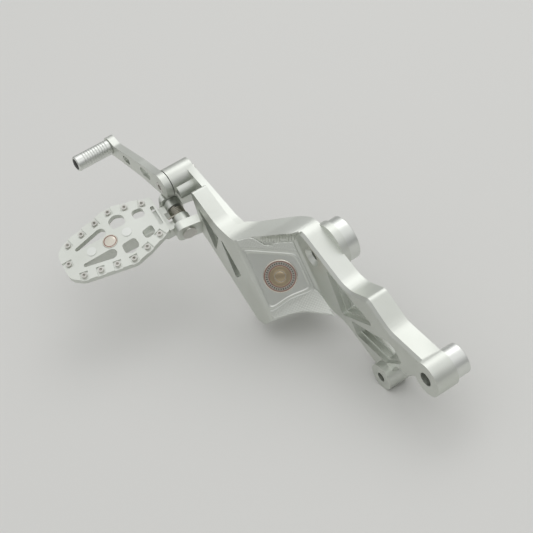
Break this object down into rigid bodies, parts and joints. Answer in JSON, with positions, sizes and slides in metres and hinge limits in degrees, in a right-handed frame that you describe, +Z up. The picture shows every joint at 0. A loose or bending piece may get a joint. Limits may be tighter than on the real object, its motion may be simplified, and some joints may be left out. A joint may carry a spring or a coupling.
{
  "type": "motorcycle footpeg with toe lever and bracket",
  "caption": "Machined forward-control bracket with a folding studded footpeg in a clevis and a pivoting toe lever with a ribbed toe peg.",
  "frame": {"origin": "centre of the rear mounting eye, in the plane of the eye's outer face", "axes": "X rearward, Y inboard towards the motorcycle, Z up"},
  "size_m": [0.4175, 0.1962, 0.1218],
  "materials": {
    "aluminium": "bead-blasted, satin",
    "polished": "machined, bright",
    "steel": "zinc plated",
    "bronze": "sintered bronze",
    "black": "moulded, matt"
  },
  "bodies": {
    "bracket": {"bracket": "aluminium", "upper_spacer": "aluminium", "rear_spacer": "aluminium", "panel_medallion": "polished", "pin_lock_screw": "steel", "clevis_pin": "steel", "front_bush": "bronze", "rear_bush": "bronze", "thrust_washer": "steel"},
    "footpeg": {"peg_core": "aluminium", "peg_spring": "steel", "tread_plate": "aluminium", "tread_studs": "steel", "tread_screws": "polished", "tread_medallion": "polished"},
    "toe_lever": {"lever": "aluminium", "pivot_shaft": "steel", "shaft_washer": "steel", "shaft_clip": "steel", "toe_peg": "aluminium", "toe_peg_bolt": "steel", "toe_end_cap": "black"}
  },
  "joints": [
    {"name": "footpeg_fold", "type": "hinge", "parent": "bracket", "child": "footpeg", "pos_m": [-0.284, -0.0486, 0.0368], "axis": [-0.947, 0.1331, 0.2924], "range_deg": [0, 38], "stiffness_Nm_per_rad": 0.3, "springref_deg": -28.65},
    {"name": "lever_pivot", "type": "hinge", "parent": "bracket", "child": "toe_lever", "pos_m": [-0.2975, -0.04, 0.062], "axis": [0, 1, 0], "range_deg": [-12, 12]}
  ]
}
